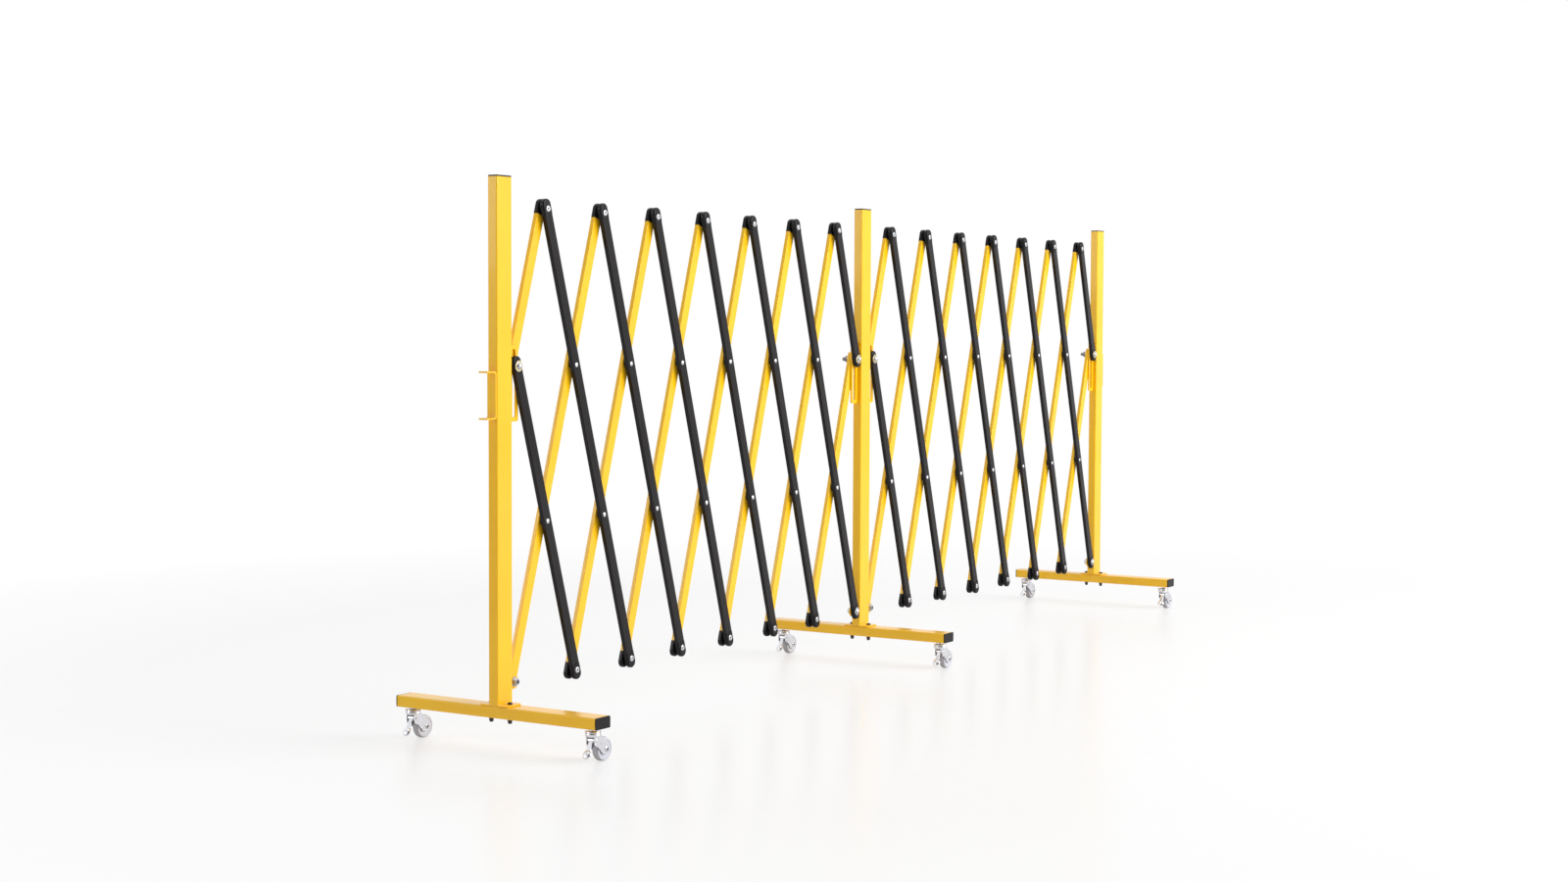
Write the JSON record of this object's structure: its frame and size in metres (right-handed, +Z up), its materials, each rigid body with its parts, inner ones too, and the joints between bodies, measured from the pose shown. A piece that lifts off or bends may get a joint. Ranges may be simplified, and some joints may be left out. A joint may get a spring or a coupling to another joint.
{
  "type": "expandable mobile barrier",
  "caption": "Expandable barrier: posts on castored feet joined by scissor lattices of black and yellow flat tubes, with sliding pins in slotted brackets.",
  "frame": {"origin": "on the floor under the middle post, at the middle of the barrier", "axes": "+X along the barrier towards the post with the keeper, -Y the side of the black bars, +Z up"},
  "size_m": [2.531, 0.43, 0.97],
  "materials": {
    "yellow_frame": "gloss",
    "yellow_bar": "gloss",
    "black_bar": "satin",
    "fastener": "zinc plated",
    "chrome": "bright",
    "wheel": "matte"
  },
  "bodies": {
    "left_post": {"left_post": "yellow_frame", "left_foot": "yellow_frame", "left_fittings": "fastener", "left_hook": "yellow_frame"},
    "middle_post": {"middle_post": "yellow_frame", "middle_foot": "yellow_frame", "middle_fittings": "fastener"},
    "right_post": {"right_post": "yellow_frame", "right_foot": "yellow_frame", "right_fittings": "fastener"},
    "right_yellow_2": {"right_yellow_2": "yellow_bar"},
    "right_black_1": {"right_black_1": "black_bar"},
    "right_black_2": {"right_black_2": "black_bar"},
    "right_black_3": {"right_black_3": "black_bar"},
    "right_yellow_1": {"right_yellow_1": "yellow_bar"},
    "right_yellow_3": {"right_yellow_3": "yellow_bar"},
    "right_yellow_4": {"right_yellow_4": "yellow_bar"},
    "right_yellow_5": {"right_yellow_5": "yellow_bar"},
    "right_black_4": {"right_black_4": "black_bar"},
    "right_black_5": {"right_black_5": "black_bar"},
    "right_black_6": {"right_black_6": "black_bar"},
    "right_yellow_6": {"right_yellow_6": "yellow_bar"},
    "right_yellow_7": {"right_yellow_7": "yellow_bar"},
    "right_yellow_8": {"right_yellow_8": "yellow_bar"},
    "right_black_7": {"right_black_7": "black_bar"},
    "right_black_8": {"right_black_8": "black_bar"},
    "left_black_7": {"left_black_7": "black_bar"},
    "left_yellow_8": {"left_yellow_8": "yellow_bar"},
    "left_yellow_7": {"left_yellow_7": "yellow_bar"},
    "left_yellow_6": {"left_yellow_6": "yellow_bar"},
    "left_black_8": {"left_black_8": "black_bar"},
    "left_black_6": {"left_black_6": "black_bar"},
    "left_black_5": {"left_black_5": "black_bar"},
    "left_black_4": {"left_black_4": "black_bar"},
    "left_yellow_5": {"left_yellow_5": "yellow_bar"},
    "left_yellow_4": {"left_yellow_4": "yellow_bar"},
    "left_yellow_3": {"left_yellow_3": "yellow_bar"},
    "left_black_3": {"left_black_3": "black_bar"},
    "left_black_2": {"left_black_2": "black_bar"},
    "left_black_1": {"left_black_1": "black_bar"},
    "left_yellow_2": {"left_yellow_2": "yellow_bar"},
    "left_yellow_1": {"left_yellow_1": "yellow_bar"},
    "left_front_fork": {"left_front_fork": "chrome"},
    "left_front_wheel": {"left_front_wheel": "wheel"},
    "left_front_pedal": {"left_front_pedal": "chrome"},
    "left_rear_fork": {"left_rear_fork": "chrome"},
    "left_rear_wheel": {"left_rear_wheel": "wheel"},
    "left_rear_pedal": {"left_rear_pedal": "chrome"},
    "middle_front_fork": {"middle_front_fork": "chrome"},
    "middle_front_wheel": {"middle_front_wheel": "wheel"},
    "middle_front_pedal": {"middle_front_pedal": "chrome"},
    "middle_rear_fork": {"middle_rear_fork": "chrome"},
    "middle_rear_wheel": {"middle_rear_wheel": "wheel"},
    "middle_rear_pedal": {"middle_rear_pedal": "chrome"},
    "right_front_fork": {"right_front_fork": "chrome"},
    "right_front_wheel": {"right_front_wheel": "wheel"},
    "right_front_pedal": {"right_front_pedal": "chrome"},
    "right_rear_fork": {"right_rear_fork": "chrome"},
    "right_rear_wheel": {"right_rear_wheel": "wheel"},
    "right_rear_pedal": {"right_rear_pedal": "chrome"}
  },
  "joints": [
    {"name": "right_fold", "type": "hinge", "parent": "middle_post", "child": "right_yellow_2", "pos_m": [0.03513, 0, 0.1134], "axis": [0, 1, 0], "range_deg": [-14, 18]},
    {"name": "right_black_1_pivot", "type": "hinge", "parent": "right_yellow_2", "child": "right_black_1", "pos_m": [0.11728, 0, 0.38212], "axis": [0, 1, 0], "range_deg": [-36, 28]},
    {"name": "right_black_2_pivot", "type": "hinge", "parent": "right_yellow_2", "child": "right_black_2", "pos_m": [0.19944, 0, 0.65084], "axis": [0, 1, 0], "range_deg": [-36, 28]},
    {"name": "right_black_3_pivot", "type": "hinge", "parent": "right_yellow_2", "child": "right_black_3", "pos_m": [0.2816, 0, 0.91956], "axis": [0, 1, 0], "range_deg": [-36, 28]},
    {"name": "right_yellow_1_pivot", "type": "hinge", "parent": "right_black_2", "child": "right_yellow_1", "pos_m": [0.11728, 0, 0.91956], "axis": [0, 1, 0], "range_deg": [-28, 36]},
    {"name": "right_yellow_3_pivot", "type": "hinge", "parent": "right_black_3", "child": "right_yellow_3", "pos_m": [0.36375, 0, 0.65084], "axis": [0, 1, 0], "range_deg": [-28, 36]},
    {"name": "right_yellow_4_pivot", "type": "hinge", "parent": "right_black_3", "child": "right_yellow_4", "pos_m": [0.44591, 0, 0.38212], "axis": [0, 1, 0], "range_deg": [-28, 36]},
    {"name": "right_yellow_5_pivot", "type": "hinge", "parent": "right_black_3", "child": "right_yellow_5", "pos_m": [0.52807, 0, 0.1134], "axis": [0, 1, 0], "range_deg": [-28, 36]},
    {"name": "right_black_4_pivot", "type": "hinge", "parent": "right_yellow_5", "child": "right_black_4", "pos_m": [0.61022, 0, 0.38212], "axis": [0, 1, 0], "range_deg": [-36, 28]},
    {"name": "right_black_5_pivot", "type": "hinge", "parent": "right_yellow_5", "child": "right_black_5", "pos_m": [0.69238, 0, 0.65084], "axis": [0, 1, 0], "range_deg": [-36, 28]},
    {"name": "right_black_6_pivot", "type": "hinge", "parent": "right_yellow_5", "child": "right_black_6", "pos_m": [0.77454, 0, 0.91956], "axis": [0, 1, 0], "range_deg": [-36, 28]},
    {"name": "right_yellow_6_pivot", "type": "hinge", "parent": "right_black_6", "child": "right_yellow_6", "pos_m": [0.85669, 0, 0.65084], "axis": [0, 1, 0], "range_deg": [-28, 36]},
    {"name": "right_yellow_7_pivot", "type": "hinge", "parent": "right_black_6", "child": "right_yellow_7", "pos_m": [0.93885, 0, 0.38212], "axis": [0, 1, 0], "range_deg": [-28, 36]},
    {"name": "right_yellow_8_pivot", "type": "hinge", "parent": "right_black_6", "child": "right_yellow_8", "pos_m": [1.02101, 0, 0.1134], "axis": [0, 1, 0], "range_deg": [-28, 36]},
    {"name": "right_black_7_pivot", "type": "hinge", "parent": "right_yellow_7", "child": "right_black_7", "pos_m": [1.02101, 0, 0.65084], "axis": [0, 1, 0], "range_deg": [-36, 28]},
    {"name": "right_black_8_pivot", "type": "hinge", "parent": "right_yellow_7", "child": "right_black_8", "pos_m": [1.10316, 0, 0.91956], "axis": [0, 1, 0], "range_deg": [-36, 28]},
    {"name": "right_post_pivot", "type": "hinge", "parent": "right_black_7", "child": "right_post", "pos_m": [1.18532, 0, 0.1134], "axis": [0, 1, 0], "range_deg": [-14, 18]},
    {"name": "left_fold", "type": "hinge", "parent": "middle_post", "child": "left_black_7", "pos_m": [-0.03513, 0, 0.1134], "axis": [0, -1, 0], "range_deg": [-14, 18]},
    {"name": "left_yellow_8_pivot", "type": "hinge", "parent": "left_black_7", "child": "left_yellow_8", "pos_m": [-0.11728, 0, 0.38212], "axis": [0, 1, 0], "range_deg": [-28, 36]},
    {"name": "left_yellow_7_pivot", "type": "hinge", "parent": "left_black_7", "child": "left_yellow_7", "pos_m": [-0.19944, 0, 0.65084], "axis": [0, 1, 0], "range_deg": [-28, 36]},
    {"name": "left_yellow_6_pivot", "type": "hinge", "parent": "left_black_7", "child": "left_yellow_6", "pos_m": [-0.2816, 0, 0.91956], "axis": [0, 1, 0], "range_deg": [-28, 36]},
    {"name": "left_black_8_pivot", "type": "hinge", "parent": "left_yellow_7", "child": "left_black_8", "pos_m": [-0.11728, 0, 0.91956], "axis": [0, 1, 0], "range_deg": [-36, 28]},
    {"name": "left_black_6_pivot", "type": "hinge", "parent": "left_yellow_6", "child": "left_black_6", "pos_m": [-0.36375, 0, 0.65084], "axis": [0, 1, 0], "range_deg": [-36, 28]},
    {"name": "left_black_5_pivot", "type": "hinge", "parent": "left_yellow_6", "child": "left_black_5", "pos_m": [-0.44591, 0, 0.38212], "axis": [0, 1, 0], "range_deg": [-36, 28]},
    {"name": "left_black_4_pivot", "type": "hinge", "parent": "left_yellow_6", "child": "left_black_4", "pos_m": [-0.52807, 0, 0.1134], "axis": [0, 1, 0], "range_deg": [-36, 28]},
    {"name": "left_yellow_5_pivot", "type": "hinge", "parent": "left_black_4", "child": "left_yellow_5", "pos_m": [-0.61022, 0, 0.38212], "axis": [0, 1, 0], "range_deg": [-28, 36]},
    {"name": "left_yellow_4_pivot", "type": "hinge", "parent": "left_black_4", "child": "left_yellow_4", "pos_m": [-0.69238, 0, 0.65084], "axis": [0, 1, 0], "range_deg": [-28, 36]},
    {"name": "left_yellow_3_pivot", "type": "hinge", "parent": "left_black_4", "child": "left_yellow_3", "pos_m": [-0.77454, 0, 0.91956], "axis": [0, 1, 0], "range_deg": [-28, 36]},
    {"name": "left_black_3_pivot", "type": "hinge", "parent": "left_yellow_3", "child": "left_black_3", "pos_m": [-0.85669, 0, 0.65084], "axis": [0, 1, 0], "range_deg": [-36, 28]},
    {"name": "left_black_2_pivot", "type": "hinge", "parent": "left_yellow_3", "child": "left_black_2", "pos_m": [-0.93885, 0, 0.38212], "axis": [0, 1, 0], "range_deg": [-36, 28]},
    {"name": "left_black_1_pivot", "type": "hinge", "parent": "left_yellow_3", "child": "left_black_1", "pos_m": [-1.02101, 0, 0.1134], "axis": [0, 1, 0], "range_deg": [-36, 28]},
    {"name": "left_yellow_2_pivot", "type": "hinge", "parent": "left_black_2", "child": "left_yellow_2", "pos_m": [-1.02101, 0, 0.65084], "axis": [0, 1, 0], "range_deg": [-28, 36]},
    {"name": "left_yellow_1_pivot", "type": "hinge", "parent": "left_black_2", "child": "left_yellow_1", "pos_m": [-1.10316, 0, 0.91956], "axis": [0, 1, 0], "range_deg": [-28, 36]},
    {"name": "left_post_pivot", "type": "hinge", "parent": "left_yellow_2", "child": "left_post", "pos_m": [-1.18532, 0, 0.1134], "axis": [0, 1, 0], "range_deg": [-18, 14]},
    {"name": "left_front_swivel", "type": "hinge", "parent": "left_post", "child": "left_front_fork", "pos_m": [-1.22045, -0.194, 0.058], "axis": [0, 0, 1], "continuous": true},
    {"name": "left_front_roll", "type": "hinge", "parent": "left_front_fork", "child": "left_front_wheel", "pos_m": [-1.19545, -0.194, 0.02], "axis": [0, 1, 0], "continuous": true},
    {"name": "left_front_brake", "type": "hinge", "parent": "left_front_fork", "child": "left_front_pedal", "pos_m": [-1.22345, -0.194, 0.038], "axis": [0, 1, 0], "range_deg": [0, 25]},
    {"name": "left_rear_swivel", "type": "hinge", "parent": "left_post", "child": "left_rear_fork", "pos_m": [-1.22045, 0.194, 0.058], "axis": [0, 0, 1], "continuous": true},
    {"name": "left_rear_roll", "type": "hinge", "parent": "left_rear_fork", "child": "left_rear_wheel", "pos_m": [-1.19545, 0.194, 0.02], "axis": [0, 1, 0], "continuous": true},
    {"name": "left_rear_brake", "type": "hinge", "parent": "left_rear_fork", "child": "left_rear_pedal", "pos_m": [-1.22345, 0.194, 0.038], "axis": [0, 1, 0], "range_deg": [0, 25]},
    {"name": "middle_front_swivel", "type": "hinge", "parent": "middle_post", "child": "middle_front_fork", "pos_m": [0, -0.194, 0.058], "axis": [0, 0, 1], "continuous": true},
    {"name": "middle_front_roll", "type": "hinge", "parent": "middle_front_fork", "child": "middle_front_wheel", "pos_m": [0.025, -0.194, 0.02], "axis": [0, 1, 0], "continuous": true},
    {"name": "middle_front_brake", "type": "hinge", "parent": "middle_front_fork", "child": "middle_front_pedal", "pos_m": [-0.003, -0.194, 0.038], "axis": [0, 1, 0], "range_deg": [0, 25]},
    {"name": "middle_rear_swivel", "type": "hinge", "parent": "middle_post", "child": "middle_rear_fork", "pos_m": [0, 0.194, 0.058], "axis": [0, 0, 1], "continuous": true},
    {"name": "middle_rear_roll", "type": "hinge", "parent": "middle_rear_fork", "child": "middle_rear_wheel", "pos_m": [0.025, 0.194, 0.02], "axis": [0, 1, 0], "continuous": true},
    {"name": "middle_rear_brake", "type": "hinge", "parent": "middle_rear_fork", "child": "middle_rear_pedal", "pos_m": [-0.003, 0.194, 0.038], "axis": [0, 1, 0], "range_deg": [0, 25]},
    {"name": "right_front_swivel", "type": "hinge", "parent": "right_post", "child": "right_front_fork", "pos_m": [1.22045, -0.194, 0.058], "axis": [0, 0, 1], "continuous": true},
    {"name": "right_front_roll", "type": "hinge", "parent": "right_front_fork", "child": "right_front_wheel", "pos_m": [1.24545, -0.194, 0.02], "axis": [0, 1, 0], "continuous": true},
    {"name": "right_front_brake", "type": "hinge", "parent": "right_front_fork", "child": "right_front_pedal", "pos_m": [1.21745, -0.194, 0.038], "axis": [0, 1, 0], "range_deg": [0, 25]},
    {"name": "right_rear_swivel", "type": "hinge", "parent": "right_post", "child": "right_rear_fork", "pos_m": [1.22045, 0.194, 0.058], "axis": [0, 0, 1], "continuous": true},
    {"name": "right_rear_roll", "type": "hinge", "parent": "right_rear_fork", "child": "right_rear_wheel", "pos_m": [1.24545, 0.194, 0.02], "axis": [0, 1, 0], "continuous": true},
    {"name": "right_rear_brake", "type": "hinge", "parent": "right_rear_fork", "child": "right_rear_pedal", "pos_m": [1.21745, 0.194, 0.038], "axis": [0, 1, 0], "range_deg": [0, 25]}
  ],
  "couplings": [
    {"joint": "right_black_1_pivot", "follows": "right_fold", "ratio": -2},
    {"joint": "right_black_2_pivot", "follows": "right_fold", "ratio": -2},
    {"joint": "right_black_3_pivot", "follows": "right_fold", "ratio": -2},
    {"joint": "right_yellow_1_pivot", "follows": "right_fold", "ratio": 2},
    {"joint": "right_yellow_3_pivot", "follows": "right_fold", "ratio": 2},
    {"joint": "right_yellow_4_pivot", "follows": "right_fold", "ratio": 2},
    {"joint": "right_yellow_5_pivot", "follows": "right_fold", "ratio": 2},
    {"joint": "right_black_4_pivot", "follows": "right_fold", "ratio": -2},
    {"joint": "right_black_5_pivot", "follows": "right_fold", "ratio": -2},
    {"joint": "right_black_6_pivot", "follows": "right_fold", "ratio": -2},
    {"joint": "right_yellow_6_pivot", "follows": "right_fold", "ratio": 2},
    {"joint": "right_yellow_7_pivot", "follows": "right_fold", "ratio": 2},
    {"joint": "right_yellow_8_pivot", "follows": "right_fold", "ratio": 2},
    {"joint": "right_black_7_pivot", "follows": "right_fold", "ratio": -2},
    {"joint": "right_black_8_pivot", "follows": "right_fold", "ratio": -2},
    {"joint": "right_post_pivot", "follows": "right_fold", "ratio": 1},
    {"joint": "left_yellow_8_pivot", "follows": "left_fold", "ratio": 2},
    {"joint": "left_yellow_7_pivot", "follows": "left_fold", "ratio": 2},
    {"joint": "left_yellow_6_pivot", "follows": "left_fold", "ratio": 2},
    {"joint": "left_black_8_pivot", "follows": "left_fold", "ratio": -2},
    {"joint": "left_black_6_pivot", "follows": "left_fold", "ratio": -2},
    {"joint": "left_black_5_pivot", "follows": "left_fold", "ratio": -2},
    {"joint": "left_black_4_pivot", "follows": "left_fold", "ratio": -2},
    {"joint": "left_yellow_5_pivot", "follows": "left_fold", "ratio": 2},
    {"joint": "left_yellow_4_pivot", "follows": "left_fold", "ratio": 2},
    {"joint": "left_yellow_3_pivot", "follows": "left_fold", "ratio": 2},
    {"joint": "left_black_3_pivot", "follows": "left_fold", "ratio": -2},
    {"joint": "left_black_2_pivot", "follows": "left_fold", "ratio": -2},
    {"joint": "left_black_1_pivot", "follows": "left_fold", "ratio": -2},
    {"joint": "left_yellow_2_pivot", "follows": "left_fold", "ratio": 2},
    {"joint": "left_yellow_1_pivot", "follows": "left_fold", "ratio": 2},
    {"joint": "left_post_pivot", "follows": "left_fold", "ratio": -1}
  ]
}
